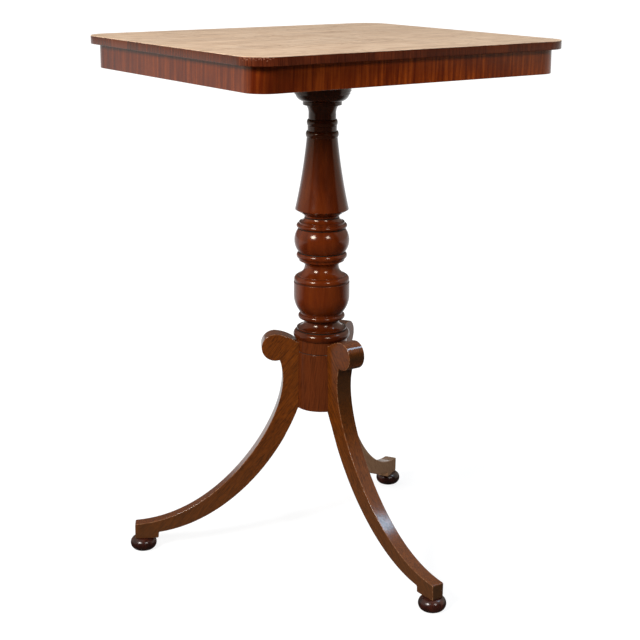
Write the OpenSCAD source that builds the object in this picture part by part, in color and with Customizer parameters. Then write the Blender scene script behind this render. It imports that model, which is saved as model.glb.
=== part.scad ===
/* [Table] */
// Height of the table, floor to top surface
table_h = 720; // [690:1:760]

/* [Top] */
// Length of the top, side to side
top_w = 492; // [430:1:560]
// Depth of the top, front to back
top_d = 435; // [400:1:500]
// Thickness of the top, veneer and all
top_t = 11.1; // [9:0.1:16]
// Radius of the top's corners
top_corner_r = 36; // [30:1:60]
// Thickness of the veneer on the top
veneer_t = 0.8; // [0.6:0.1:1.5]
// Thickness of the cross-grained strips glued round the top's edge
band_t = 1.2; // [0.8:0.1:2]

/* [Apron] */
// How far the apron stands in from the top's edge
apron_inset = 11.2; // [8:0.1:18]
// Depth of the apron below the top
apron_h = 32.2; // [29:0.1:45]
// Radius of the apron's corners, outside
apron_corner_r = 27.6; // [22:0.1:40]
// Thickness of the rails behind the facing
rail_t = 16; // [12:0.5:20]
// Thickness of the cross-grained facing on the rails
facing_t = 1; // [0.6:0.1:2]
// Width of a glue block, along the rail and along the top alike
glue_block_w = 14; // [10:0.5:20]
// Thickness of a glue block along its two edges
glue_block_edge = 3.5; // [1:0.1:8]
// Length of a glue block
glue_block_l = 45; // [30:1:60]

/* [Bearer] */
// Width of the bearer under the top
bearer_w = 110; // [96:1:150]
// Thickness of the bearer
bearer_t = 28; // [22:0.5:30]
// Chamfer along the bearer's lower edges
bearer_chamfer = 5; // [0.5:0.5:8]
// Distance between the two rows of bearer screws
bearer_screw_rows = 260; // [160:1:300]
// Distance between the two screws in a row
bearer_screw_pitch = 64; // [40:1:76]
// Length of a bearer screw
bearer_screw_l = 30; // [20:0.5:34]
// Diameter of a bearer screw's shank
bearer_screw_d = 4.5; // [3:0.1:6]
// How deep the bearer screws' heads are let in
bearer_screw_sink = 5; // [3:0.5:8]

/* [Capital] */
// Diameter of the spigot on top of the pillar
spigot_d = 28; // [20:0.5:36]
// Thickness of the wedge that spreads the spigot
wedge_t = 3; // [1.5:0.1:5]
// Depth of the saw cut that takes the wedge
wedge_depth = 20; // [10:0.5:21]
// Radius of the plain block over the capital
cap_block_r = 39; // [34:0.1:46]
// Height of the plain block over the capital
cap_block_h = 32; // [20:0.5:40]
// Radius of the fillet over the ovolo
cap_fillet_r = 37.6; // [34:0.1:44]
// Height of the fillet over the ovolo
cap_fillet_h = 3.6; // [2:0.1:6]
// Height of the ovolo
ovolo_h = 9.6; // [6:0.1:14]
// Radius of the ovolo at its foot
ovolo_r = 27; // [24:0.1:32]
// Radius of the fillet under the ovolo
under_fillet_r = 26.4; // [23:0.1:30]
// Height of the fillet under the ovolo
under_fillet_h = 5; // [2:0.1:8]
// Radius of the ovolo where it meets the fillet over it
ovolo_top_r = 36.6; // [33:0.1:42]
// How far the ovolo swells
ovolo_swell = 1.9; // [1:0.1:3]
// Height of the hollow between fillet and neck
cap_hollow_h = 13; // [8:0.1:18]
// Radius of that hollow under the fillet
cap_hollow_r = 22.3; // [20:0.1:24]
// Depth of that hollow
cap_hollow_depth = 1.3; // [0.5:0.1:2]
// Radius of the pillar's neck
neck_r = 18.7; // [16:0.1:22]
// Height of the neck
neck_h = 6.4; // [3:0.1:12]
// Radius of the upper collar
collar_r = 21; // [19:0.1:26]
// Height of the upper collar
collar_h = 8.8; // [5:0.1:12]
// Radius between the two collars
collar_waist_r = 19.8; // [17:0.1:22]
// Height between the two collars
collar_waist_h = 7; // [4:0.1:12]
// Radius of the lower collar
low_collar_r = 22.4; // [20:0.1:27]
// Height of the lower collar
low_collar_h = 8.9; // [5:0.1:12]
// How far the collars swell
collar_swell = 1.5; // [0.5:0.1:2.5]

/* [Shaft] */
// Radius of the tapered shaft at its top
shaft_top_r = 21; // [18:0.1:26]
// Radius of the tapered shaft at its foot
shaft_foot_r = 36.6; // [30:0.1:40]
// Hollowness of the taper
shaft_hollow = 1.5; // [0:0.1:3]
// Height of the sharp edge round the shaft's foot
shaft_edge_h = 1; // [0.5:0.1:3]
// Height of the slope under the shaft
undercut_h = 7.8; // [5:0.1:12]
// Radius of the thin collar under the shaft
under_shaft_r = 24; // [21:0.1:28]
// Height of the thin collar under the shaft
under_shaft_h = 2.3; // [1:0.1:4]

/* [Rings and ball] */
// Depth of the lines turned beside the rings
quirk = 0.9; // [0.3:0.1:1.5]
// Height of the lines turned beside the rings
quirk_h = 1.4; // [0.8:0.1:2]
// Radius of a hollow at its narrow end
hollow_r = 24; // [21:0.1:25]
// Height of the hollow over the ball
high_hollow_h = 5.4; // [4:0.1:10]
// Radius of the hollow over the ball at its wide end
high_hollow_r = 29.8; // [27:0.1:32]
// Depth of the hollow over the ball
high_hollow_depth = 1.2; // [0.4:0.1:1.6]
// Radius of the fillets next to the hollows
fillet_r = 31.2; // [29:0.1:33]
// Height of the fillet over the ball
high_fillet_h = 2.8; // [1.5:0.1:5]
// Height of the fillet under the ball
low_fillet_h = 2.2; // [1.5:0.1:5]
// Radius of the rings over and under the ball
ring_r = 34.8; // [33:0.1:38]
// Height of the ring over the ball
high_ring_h = 5.6; // [4.4:0.1:9]
// Height of the ring under the ball
mid_ring_h = 7.6; // [4.4:0.1:9]
// How far the rings over and under the ball swell
ring_swell = 2; // [1:0.1:2.2]
// Radius of the ball
ball_r = 37.8; // [35:0.1:42]
// Height of the ball
ball_h = 32; // [24:0.1:40]
// Radius of the ball where it ends in the grooves
ball_end_r = 32.4; // [30:0.1:34]
// Height of the hollow over the vase
low_hollow_h = 14; // [8:0.1:20]
// Radius of the hollow over the vase at its wide end
low_hollow_r = 33; // [30:0.1:36]
// Radius of the hollow over the vase at its narrow end
low_hollow_end_r = 23.4; // [21:0.1:26]
// Depth of the hollow over the vase
low_hollow_depth = 2.9; // [1:0.1:3.5]
// Radius at which that hollow turns out under the fillet
lip_r = 26.2; // [23:0.1:28]
// Height over which that hollow turns out
lip_h = 3.6; // [1:0.1:5]
// Height of the slope from there out to the fillet
lip_slope_h = 2.2; // [0.5:0.1:3]

/* [Vase] */
// Radius of the vase
vase_r = 38.5; // [35:0.1:42]
// Height of the vase's upright part
vase_h = 18.8; // [12:0.1:30]
// Height of the vase's rounded bottom
vase_round_h = 23; // [16:0.1:30]
// Radius of the vase at its bottom
vase_end_r = 30; // [28:0.1:33]
// Radius of the ring over the vase, at its foot
vase_ring_r = 37.6; // [36:0.1:41]
// Radius of the ring over the vase, at its top
vase_ring_top_r = 34.8; // [33:0.1:38]
// How far the ring over the vase swells
vase_ring_swell = 1.7; // [0.5:0.1:2.5]
// Height of the ring over the vase
vase_ring_h = 7.8; // [5:0.1:10]
// Radius of the ring under the vase
low_ring_r = 32.4; // [30:0.1:36]
// Height of the ring under the vase
low_ring_h = 7; // [5.8:0.1:10]
// How far the ring under the vase swells
low_ring_swell = 2.7; // [1:0.1:2.8]
// Height of the neck under the ring
base_neck_h = 4.4; // [2:0.1:8]
// Radius of the neck where the ring stands on it
base_neck_r = 24.8; // [23:0.1:28]
// Height of the hollow over the base ring
base_hollow_h = 8.2; // [5:0.1:12]
// Radius of the hollow over the base ring at its wide end
base_hollow_r = 32; // [30:0.1:34]
// Depth of the hollow over the base ring
base_hollow_depth = 1.7; // [0.5:0.1:2.2]
// Radius of the fillet over the base ring
base_fillet_r = 34.3; // [33:0.1:36]
// Height of the fillet over the base ring
base_fillet_h = 2; // [1:0.1:4]
// Radius of the base ring at its foot
base_ring_r = 37; // [35:0.1:42]
// Radius of the base ring at its top
base_ring_top_r = 35.2; // [34:0.1:40]
// How far the base ring swells
base_ring_swell = 2.9; // [1:0.1:3.8]
// Height of the base ring
base_ring_h = 11; // [8:0.1:14]

/* [Drum] */
// Radius of the drum that takes the legs
drum_r = 35.2; // [33:0.1:38]
// Height of the drum
drum_h = 100; // [94:0.5:120]
// Height of the drum's underside above the floor
drum_z = 208; // [190:1:230]
// Distance of the scored line below the drum's top
score_drop = 18; // [12:0.5:22]
// Height of the dovetail on a leg
tongue_h = 72; // [60:0.5:76]
// Depth of the dovetail in the drum
tongue_depth = 13; // [8:0.5:15]
// Width of the dovetail where it is narrowest
tongue_w = 12; // [9:0.5:14]
// How much wider the dovetail is at its tip, each side
tongue_flare = 2; // [1:0.1:3]

/* [Legs] */
// Distance of the feet from the pillar's axis
foot_reach = 253; // [225:1:280]
// Thickness of a leg at its scroll
leg_t_top = 26; // [22:0.1:30]
// Thickness of a leg at its foot
leg_t_foot = 17.4; // [14:0.1:22]
// Radius of the scroll
scroll_r = 19.1; // [15:0.1:21]
// Distance of the scroll's centre from the drum's face
scroll_out = 29.6; // [26:0.1:34]
// Distance of the scroll's centre below the drum's top
scroll_drop = 12.1; // [9:0.1:20]
// Depth of the leg in its waist under the scroll, out from the drum's face
waist_out = 19.4; // [15:0.1:24]
// Distance of the leg's waist below the drum's top
waist_drop = 56; // [50:0.5:66]
// Angle at which the leg's throat runs into the scroll, from straight below
throat_angle = 18; // [5:1:35]
// Distance of the leg's shoulder below the drum's top
shoulder_drop = 4.6; // [4:0.1:12]
// How far the shoulder between drum and scroll swells
shoulder_swell = 2.4; // [0.5:0.1:4]
// Distance the leg runs on past the foot's axis
toe_out = 11.3; // [9:0.1:17]
// Length of the square block at the leg's end
toe_l = 33; // [26:0.1:40]
// Height of the square block at its outer end
toe_h = 21.2; // [15:0.1:26]
// Height of the step from the block up to the leg's underside
toe_step = 8.5; // [5:0.1:12]

/* [Feet] */
// Radius of a bun foot
bun_r = 18.4; // [16:0.1:22]
// Height of a bun foot
bun_h = 17.5; // [14:0.1:22]
// Radius of the bun foot's flat top and underside
bun_flat_r = 12.6; // [9:0.1:14]
// Radius of the pin on a bun foot
bun_pin_r = 4.5; // [3:0.1:6]
// Length of the pin on a bun foot
bun_pin_l = 12; // [8:0.5:14]

/* [Brace] */
// Thickness of the iron brace that is let in under the drum
brace_t = 2; // [1.5:0.1:3]
// Width of the brace's arms
brace_w = 16.5; // [14:0.5:18]
// Radius of the brace's middle
brace_r = 20; // [14:0.5:26]
// Length of a brace screw
brace_screw_l = 13; // [10:0.5:16]
// Diameter of a brace screw's shank
brace_screw_d = 3.5; // [2.5:0.1:4.5]

/* [Fits] */
// Glue line between curved faces, and round pins and screws
glue_line = 0.1; // [0.05:0.01:0.2]

/* [Hidden] */

// Turns that bring a piece from the front to each side
front_angle = 0;
right_angle = 90;
back_angle = 180;
left_angle = 270;

// Turns that bring a quarter from +X, +Y into each corner
back_right_angle = 0;
back_left_angle = 90;
front_left_angle = 180;
front_right_angle = 270;

// Directions of the three legs round the pillar
front_leg_angle = -90;
back_right_leg_angle = 30;
back_left_leg_angle = 150;
LEG_ANGLES = [front_leg_angle, back_right_leg_angle, back_left_leg_angle];

// Steps along a curve
arc_steps = 10;
leg_steps = 28;
bend_steps = 4;
round_fn = 96;
small_fn = 32;
// An arc flatter than this is a straight line
flat_swell = 0.01;
// Overshoot of a cutting solid
over = 1;
// A glue block stands this share of its rail's length from the rail's middle
glue_block_share = 1 / 3;

// The pillar stands where the table's feet and top together are centred on the origin
pillar_y = (foot_reach + bun_r - top_d / 2) / 2;

// Levels, from the top down
under_veneer_z = table_h - veneer_t;
under_top_z = table_h - top_t;
apron_z = under_top_z - apron_h;
bearer_z = under_top_z - bearer_t;

// Plan sizes of the apron
apron_w = top_w - 2 * apron_inset;
apron_d = top_d - 2 * apron_inset;
block_r = apron_corner_r - facing_t;
rail_out = facing_t + rail_t;
bearer_l = apron_d - 2 * rail_out - 2 * glue_line;

// Levels of the drum
drum_top_z = drum_z + drum_h;
scroll_z = drum_top_z - scroll_drop;
waist_z = drum_top_z - waist_drop;
shoulder_z = drum_top_z - shoulder_drop;

// Points [radius, height] along an arc between two points that stands out by swell at its middle.
// A negative swell makes a hollow.
function arc(p, q, swell) =
    abs(swell) < flat_swell ? [p, q] :
    let (
        run = q - p,
        chord = norm(run),
        r = (chord * chord / 4 + swell * swell) / (2 * swell),
        half = asin(chord / 2 / abs(r)),
        side = [run[1], -run[0]] / chord,
        centre = (p + q) / 2 - side * (r - swell)
    )
    [for (i = [0:arc_steps])
        let (a = (2 * i / arc_steps - 1) * half)
        centre + r * (cos(a) * side + sin(a) * sign(swell) * run / chord)];

// The swell that lets an arc end upright, so that it runs into a straight side without an edge
function upright_swell(rise, out) =
    norm([rise, out]) / 2 * tan(atan2(out, rise) / 2);

// Turned members: height, radius below, radius above, swell
function plain(h, r) = [h, r, r, 0];
function bead(h, r, swell) = [h, r - swell, r - swell, swell];
function height_of(members, n) = n == 0 ? 0 : members[n - 1][0] + height_of(members, n - 1);
function outline_of(members, z) =
    [for (i = [0:len(members) - 1])
        let (m = members[i], z0 = z + height_of(members, i))
        each arc([m[1], z0], [m[2], z0 + m[0]], m[3])];

// From the drum's underside up to the sharp edge under the shaft
low_members = [
    plain(drum_h - score_drop - quirk_h / 2, drum_r),
    [quirk_h / 2, drum_r, drum_r - quirk, 0],
    [quirk_h / 2, drum_r - quirk, drum_r, 0],
    plain(score_drop - quirk_h / 2, drum_r),
    [base_ring_h, base_ring_r, base_ring_top_r, base_ring_swell],
    plain(quirk_h, base_fillet_r - quirk),
    plain(base_fillet_h, base_fillet_r),
    [base_hollow_h, base_hollow_r, hollow_r, -base_hollow_depth],
    [base_neck_h, hollow_r, base_neck_r, 0],
    bead(low_ring_h, low_ring_r, low_ring_swell),
    plain(2 * quirk_h, vase_end_r - quirk),
    [vase_round_h, vase_end_r, vase_r, upright_swell(vase_round_h, vase_r - vase_end_r)],
    plain(vase_h, vase_r),
    plain(quirk_h, vase_r - quirk),
    [vase_ring_h, vase_ring_r, vase_ring_top_r, vase_ring_swell],
    plain(quirk_h, low_hollow_r),
    [low_hollow_h, low_hollow_r, low_hollow_end_r, -low_hollow_depth],
    [lip_h, low_hollow_end_r, lip_r, 0],
    [lip_slope_h, lip_r, fillet_r, 0],
    plain(low_fillet_h, fillet_r),
    plain(quirk_h, ring_r - ring_swell - quirk),
    bead(mid_ring_h, ring_r, ring_swell),
    plain(quirk_h, ball_end_r - quirk),
    bead(ball_h, ball_r, ball_r - ball_end_r),
    plain(quirk_h, ball_end_r - quirk),
    bead(high_ring_h, ring_r, ring_swell),
    plain(high_fillet_h, fillet_r),
    [high_hollow_h, high_hollow_r, hollow_r, -high_hollow_depth],
    plain(quirk_h, hollow_r - quirk),
    plain(under_shaft_h, under_shaft_r),
    [undercut_h, under_shaft_r, shaft_foot_r, 0],
    plain(shaft_edge_h, shaft_foot_r)
];
low_h = height_of(low_members, len(low_members));

// From the top of the shaft up to the bearer
high_members = [
    bead(low_collar_h, low_collar_r, collar_swell),
    plain(collar_waist_h, collar_waist_r),
    bead(collar_h, collar_r, collar_swell),
    plain(neck_h, neck_r),
    [cap_hollow_h, neck_r, cap_hollow_r, -cap_hollow_depth],
    plain(under_fillet_h, under_fillet_r),
    [ovolo_h, ovolo_r, ovolo_top_r, ovolo_swell],
    plain(cap_fillet_h, cap_fillet_r),
    plain(cap_block_h, cap_block_r)
];
high_h = height_of(high_members, len(high_members));

// The shaft takes the height that is left
shaft_h = bearer_z - drum_z - low_h - high_h;

// Outline of a leg, as distance from the pillar's axis and height
function bezier(p, t) =
    len(p) == 1 ? p[0] :
    bezier([for (i = [0:len(p) - 2]) p[i] * (1 - t) + p[i + 1] * t], t);

// A curve's handles are shares of the way from its upper end to its lower end
function handles(from, to, shares) =
    [for (s = shares) [from[0] + (to[0] - from[0]) * s[0], to[1] + (from[1] - to[1]) * s[1]]];

back_handles = [[0, 1], [0, 0.737], [0.211, 0.406], [0.516, 0.027], [1, 0]];
belly_handles = [[0, 1], [0.155, 0.535], [0.54, 0.065], [1, 0]];
scroll = [drum_r + scroll_out, scroll_z];
throat = scroll - scroll_r * [sin(throat_angle), cos(throat_angle)];
waist = [drum_r + waist_out, waist_z];
toe_tip = [foot_reach + toe_out, bun_h + toe_h];
toe_heel = [foot_reach + toe_out - toe_l, bun_h + toe_step];
leg_corner = [sqrt(pow(drum_r, 2) - pow(leg_t_top / 2, 2)), drum_z];
leg_back = handles(waist, toe_tip, back_handles);
leg_belly = handles(leg_corner, toe_heel, belly_handles);

// Thickness of a leg at a height
function leg_t(z) =
    leg_t_foot + (leg_t_top - leg_t_foot) * (z - bun_h) / (scroll_z + scroll_r - bun_h);

// Direction of a curve at a share of its way
function heading(p, t) =
    let (run = bezier([for (i = [0:len(p) - 2]) p[i + 1] - p[i]], t))
    run / norm(run);

// Shares of the leg's underside at which the brace's arm ends and its screw stands
brace_end_share = 4 / 25;
brace_screw_share = 1 / 10;
brace_screw_at = bezier(leg_belly, brace_screw_share);
brace_screw_run = heading(leg_belly, brace_screw_share);
brace_screw_tilt = atan2(brace_screw_run[1], brace_screw_run[0]);

module at_pillar() {
    translate([0, pillar_y, 0]) children();
}

// Puts a piece that lies along X, outer face at y = 0, against one side of a w by d rectangle
module on_side(angle, w, d) {
    rotate([0, 0, angle])
        translate([0, -(angle % 180 == 0 ? d : w) / 2, 0])
            children();
}

// Puts a quarter that fills +X, +Y into one corner of a w by d rectangle with corners of radius r
module on_corner(angle, w, d, r) {
    translate([sign(cos(angle + 45)) * (w / 2 - r), sign(sin(angle + 45)) * (d / 2 - r), 0])
        rotate([0, 0, angle])
            children();
}

// Length of one side between the round corners
function side_l(angle, w, d, r) = (angle % 180 == 0 ? w : d) - 2 * r;

module round_slab(w, d, r, h) {
    linear_extrude(h) {
        square([w - 2 * r, d], center = true);
        square([w, d - 2 * r], center = true);
        for (x = [-1, 1], y = [-1, 1])
            translate([x * (w / 2 - r), y * (d / 2 - r)])
                circle(r, $fn = round_fn);
    }
}

module strip(l, t, h) {
    translate([-l / 2, 0, 0]) cube([l, t, h]);
}

module quarter_ring(r, t, h) {
    intersection() {
        difference() {
            cylinder(r = r, h = h, $fn = round_fn);
            translate([0, 0, -over]) cylinder(r = r - t, h = h + 2 * over, $fn = round_fn);
        }
        cube([r + over, r + over, h]);
    }
}

module top_board() {
    color("saddlebrown")
        at_pillar()
            difference() {
                translate([0, 0, under_top_z])
                    round_slab(top_w - 2 * band_t, top_d - 2 * band_t, top_corner_r - band_t, top_t - veneer_t);
                bearer_screw_set(glue_line);
            }
}

module top_veneer() {
    color("burlywood")
        at_pillar()
            translate([0, 0, under_veneer_z])
                round_slab(top_w, top_d, top_corner_r, veneer_t);
}

module edge_strip(angle) {
    color("sienna")
        at_pillar()
            translate([0, 0, under_top_z])
                on_side(angle, top_w, top_d)
                    strip(side_l(angle, top_w, top_d, top_corner_r), band_t, top_t - veneer_t);
}

module edge_corner(angle) {
    color("brown")
        at_pillar()
            translate([0, 0, under_top_z])
                on_corner(angle, top_w, top_d, top_corner_r)
                    quarter_ring(top_corner_r, band_t - glue_line, top_t - veneer_t);
}

module rail(angle) {
    color("peru")
        at_pillar()
            translate([0, 0, apron_z])
                on_side(angle, apron_w - 2 * facing_t, apron_d - 2 * facing_t)
                    strip(side_l(angle, apron_w, apron_d, apron_corner_r), rail_t, apron_h);
}

module corner_block(angle) {
    color("tan")
        at_pillar()
            translate([0, 0, apron_z])
                on_corner(angle, apron_w, apron_d, apron_corner_r)
                    intersection() {
                        cylinder(r = block_r - glue_line, h = apron_h, $fn = round_fn);
                        cube([block_r, block_r, apron_h]);
                    }
}

module facing(angle) {
    color("firebrick")
        at_pillar()
            translate([0, 0, apron_z])
                on_side(angle, apron_w, apron_d)
                    strip(side_l(angle, apron_w, apron_d, apron_corner_r), facing_t, apron_h);
}

module facing_corner(angle) {
    color("chocolate")
        at_pillar()
            translate([0, 0, apron_z])
                on_corner(angle, apron_w, apron_d, apron_corner_r)
                    quarter_ring(apron_corner_r, facing_t, apron_h);
}

// A chamfered block rubbed into the angle between a rail and the top
module glue_block(angle, end) {
    run = side_l(angle, apron_w, apron_d, apron_corner_r);
    chamfered = [[0, 0], [glue_block_w, 0], [glue_block_w, -glue_block_edge],
                 [glue_block_edge, -glue_block_w], [0, -glue_block_w]];
    color("wheat")
        at_pillar()
            translate([0, 0, under_top_z])
                on_side(angle, apron_w - 2 * rail_out, apron_d - 2 * rail_out)
                    translate([end * run * glue_block_share, 0, 0])
                        rotate([90, 0, 90])
                            linear_extrude(glue_block_l, center = true)
                                polygon(chamfered);
}

// A countersunk wood screw, head down, its head's face at z = 0 and its point up
module wood_screw(d, l, grow) {
    head_r = d;
    point_h = d;
    rotate_extrude($fn = small_fn)
        polygon([
            [0, -grow], [head_r + grow, -grow], [head_r + grow, 0], [d / 2 + grow, head_r - d / 2],
            [d / 2 + grow, l - point_h], [0, l + grow]
        ]);
}

// The slot that a screwdriver takes, a quarter of the shank wide and deep
module screw_slot(d) {
    translate([-d - over, -d / 8, -over]) cube([2 * (d + over), d / 4, over + d / 4]);
}

module slotted_screw(d, l) {
    difference() {
        wood_screw(d, l, 0);
        screw_slot(d);
    }
}

module on_bearer_screws() {
    for (x = [-1, 1], y = [-1, 1])
        translate([x * bearer_screw_pitch / 2, y * bearer_screw_rows / 2, bearer_z + bearer_screw_sink])
            children();
}

module bearer_screw_set(grow) {
    on_bearer_screws() wood_screw(bearer_screw_d, bearer_screw_l, grow);
}

module bearer() {
    half = bearer_w / 2;
    section = [[-half, 0], [-half, bearer_chamfer - bearer_t], [bearer_chamfer - half, -bearer_t],
               [half - bearer_chamfer, -bearer_t], [half, bearer_chamfer - bearer_t], [half, 0]];
    color("peru")
        at_pillar()
            difference() {
                translate([0, 0, under_top_z])
                    rotate([90, 0, 0])
                        linear_extrude(bearer_l, center = true)
                            polygon(section);
                translate([0, 0, bearer_z - over])
                    cylinder(d = spigot_d + 2 * glue_line, h = bearer_t + 2 * over, $fn = round_fn);
                bearer_screw_set(glue_line);
                on_bearer_screws()
                    translate([0, 0, -bearer_screw_sink - over])
                        cylinder(r = bearer_screw_d + glue_line, h = bearer_screw_sink + over,
                                 $fn = small_fn);
            }
}

module bearer_screws() {
    color("dimgray")
        at_pillar()
            on_bearer_screws() slotted_screw(bearer_screw_d, bearer_screw_l);
}

// The wedge is as thick as the saw cut at its bottom, and thicker at the top
module wedge_shape(grow) {
    top = wedge_t / 2 + grow;
    rotate([90, 0, 90])
        linear_extrude(spigot_d + 2 * over, center = true)
            polygon([[-top, 0], [-top / 2, -wedge_depth - grow], [top / 2, -wedge_depth - grow], [top, 0]]);
}

module pillar_wedge() {
    color("khaki")
        at_pillar()
            intersection() {
                translate([0, 0, under_top_z]) wedge_shape(0);
                translate([0, 0, bearer_z]) cylinder(d = spigot_d, h = bearer_t, $fn = round_fn);
            }
}

// Plan of a dovetail, widening from the drum's face inwards and straight outside it
module tongue_plan(grow) {
    root = tongue_w / 2 + grow;
    tip = root + tongue_flare;
    inner = drum_r - tongue_depth - grow;
    polygon([[drum_r + over, -root], [drum_r + over, root], [drum_r, root],
             [inner, tip], [inner, -tip], [drum_r, -root]]);
}

module pillar() {
    shaft = [[shaft_h, shaft_foot_r, shaft_top_r, -shaft_hollow]];
    color("maroon")
        at_pillar()
            difference() {
                union() {
                    rotate_extrude($fn = round_fn)
                        polygon(concat(
                            [[0, drum_z]],
                            outline_of(low_members, drum_z),
                            outline_of(shaft, drum_z + low_h),
                            outline_of(high_members, bearer_z - high_h),
                            [[0, bearer_z]]
                        ));
                    translate([0, 0, bearer_z - over])
                        cylinder(d = spigot_d, h = bearer_t + over, $fn = round_fn);
                }
                translate([0, 0, under_top_z]) wedge_shape(glue_line);
                for (a = LEG_ANGLES)
                    rotate([0, 0, a])
                        translate([0, 0, drum_z - over])
                            linear_extrude(over + brace_t + tongue_h + glue_line) tongue_plan(glue_line);
                brace_bed();
                translate([0, 0, drum_z]) wood_screw(brace_screw_d, brace_screw_l, glue_line);
            }
}

// The side view of a leg: scroll, shoulder, sabre curve and square block
module leg_side() {
    inside = leg_corner[0] - over;
    belly = [for (i = [0:leg_steps]) bezier(leg_belly, i / leg_steps)];
    back = [for (i = [leg_steps:-1:0]) bezier(leg_back, i / leg_steps)];
    to_throat = arc(waist, throat, -upright_swell(throat[1] - waist[1], throat[0] - waist[0]));
    shoulder = arc(scroll + [0, scroll_r], [drum_r, shoulder_z], shoulder_swell);
    polygon(concat(
        [[inside, drum_z]],
        belly,
        [[toe_heel[0], bun_h], [toe_tip[0], bun_h]],
        back,
        to_throat,
        [scroll],
        shoulder,
        [[inside, shoulder_z]]
    ));
    translate(scroll) circle(scroll_r, $fn = round_fn);
}

module leg(angle) {
    leg_l = toe_tip[0] + over;
    top_z = scroll_z + scroll_r + over;
    section = [[-leg_t(0) / 2, 0], [leg_t(0) / 2, 0], [leg_t(top_z) / 2, top_z], [-leg_t(top_z) / 2, top_z]];
    color("brown")
        at_pillar()
            rotate([0, 0, angle])
                difference() {
                    union() {
                        difference() {
                            intersection() {
                                rotate([90, 0, 0]) linear_extrude(leg_t_top + over, center = true) leg_side();
                                rotate([90, 0, 90]) linear_extrude(leg_l) polygon(section);
                            }
                            cylinder(r = drum_r + glue_line, h = top_z, $fn = round_fn);
                            rotate([90, 0, 0])
                                linear_extrude(brace_w + 2 * glue_line, center = true)
                                    brace_arm_side(over, glue_line);
                        }
                        translate([0, 0, drum_z + brace_t])
                            linear_extrude(tongue_h) tongue_plan(0);
                    }
                    translate([foot_reach, 0, bun_h - over])
                        cylinder(r = bun_pin_r + glue_line, h = bun_pin_l + over + glue_line, $fn = small_fn);
                    on_leg_screw() wood_screw(brace_screw_d, brace_screw_l, glue_line);
                }
}

module bun_foot(angle) {
    color("black")
        at_pillar()
            rotate([0, 0, angle])
                translate([foot_reach, 0, 0]) {
                    rotate_extrude($fn = round_fn)
                        polygon(concat(
                            [[0, 0]],
                            arc([bun_flat_r, 0], [bun_flat_r, bun_h], bun_r - bun_flat_r),
                            [[0, bun_h]]
                        ));
                    translate([0, 0, bun_h - over])
                        cylinder(r = bun_pin_r, h = bun_pin_l + over, $fn = small_fn);
                }
}

// Stands a screw on the leg's underside, its head let into the brace
module on_leg_screw() {
    translate([brace_screw_at[0], 0, brace_screw_at[1]])
        rotate([0, -brace_screw_tilt, 0])
            children();
}

// Points along the leg's underside as far as the brace's arm goes, in from it by depth.
// The last point lies further on by more.
function arm_edge(depth, more) =
    [for (i = [0:bend_steps])
        let (t = brace_end_share * i / bend_steps, run = heading(leg_belly, t))
        bezier(leg_belly, t) + depth * [-run[1], run[0]] + (i == bend_steps ? more : 0) * run];

// Side view of one arm, flat in the drum's underside and then bent down along the leg.
// What is cut for it stands out from the wood by proud, and is larger by grow in the leg.
module brace_arm_side(proud, grow) {
    face = arm_edge(-proud, grow);
    back = arm_edge(brace_t + grow, grow);
    polygon(concat(
        [[0, drum_z - proud]],
        proud > 0 ? [[face[0][0], drum_z - proud]] : [],
        face,
        [for (i = [bend_steps:-1:0]) back[i]],
        [[back[0][0], drum_z + brace_t], [0, drum_z + brace_t]]
    ));
}

// What is cut out of the drum's underside for the brace
module brace_bed() {
    translate([0, 0, drum_z - over]) {
        cylinder(r = brace_r + glue_line, h = over + brace_t, $fn = round_fn);
        for (a = LEG_ANGLES)
            rotate([0, 0, a])
                translate([0, -brace_w / 2 - glue_line, 0])
                    cube([drum_r + over, brace_w + 2 * glue_line, over + brace_t]);
    }
}

module brace_plate() {
    color("darkslategray")
        at_pillar()
            difference() {
                union() {
                    translate([0, 0, drum_z])
                        cylinder(r = brace_r, h = brace_t, $fn = round_fn);
                    for (a = LEG_ANGLES)
                        rotate([0, 0, a])
                            rotate([90, 0, 0])
                                linear_extrude(brace_w, center = true)
                                    brace_arm_side(0, 0);
                }
                translate([0, 0, drum_z]) wood_screw(brace_screw_d, brace_screw_l, glue_line);
                for (a = LEG_ANGLES)
                    rotate([0, 0, a])
                        on_leg_screw() wood_screw(brace_screw_d, brace_screw_l, glue_line);
            }
}

module brace_screws() {
    color("gray")
        at_pillar() {
            translate([0, 0, drum_z]) slotted_screw(brace_screw_d, brace_screw_l);
            for (a = LEG_ANGLES)
                rotate([0, 0, a])
                    on_leg_screw() slotted_screw(brace_screw_d, brace_screw_l);
        }
}

top_board();
top_veneer();
edge_strip(front_angle);  // edge_strip_front
edge_strip(right_angle);  // edge_strip_right
edge_strip(back_angle);  // edge_strip_back
edge_strip(left_angle);  // edge_strip_left
edge_corner(front_left_angle);  // edge_corner_front_left
edge_corner(front_right_angle);  // edge_corner_front_right
edge_corner(back_right_angle);  // edge_corner_back_right
edge_corner(back_left_angle);  // edge_corner_back_left
rail(front_angle);  // rail_front
rail(right_angle);  // rail_right
rail(back_angle);  // rail_back
rail(left_angle);  // rail_left
corner_block(front_left_angle);  // corner_block_front_left
corner_block(front_right_angle);  // corner_block_front_right
corner_block(back_right_angle);  // corner_block_back_right
corner_block(back_left_angle);  // corner_block_back_left
facing(front_angle);  // facing_front
facing(right_angle);  // facing_right
facing(back_angle);  // facing_back
facing(left_angle);  // facing_left
facing_corner(front_left_angle);  // facing_corner_front_left
facing_corner(front_right_angle);  // facing_corner_front_right
facing_corner(back_right_angle);  // facing_corner_back_right
facing_corner(back_left_angle);  // facing_corner_back_left
glue_block(front_angle, -1);  // glue_block_front_left
glue_block(front_angle, 1);  // glue_block_front_right
glue_block(right_angle, -1);  // glue_block_right_front
glue_block(right_angle, 1);  // glue_block_right_back
glue_block(back_angle, -1);  // glue_block_back_right
glue_block(back_angle, 1);  // glue_block_back_left
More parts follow.
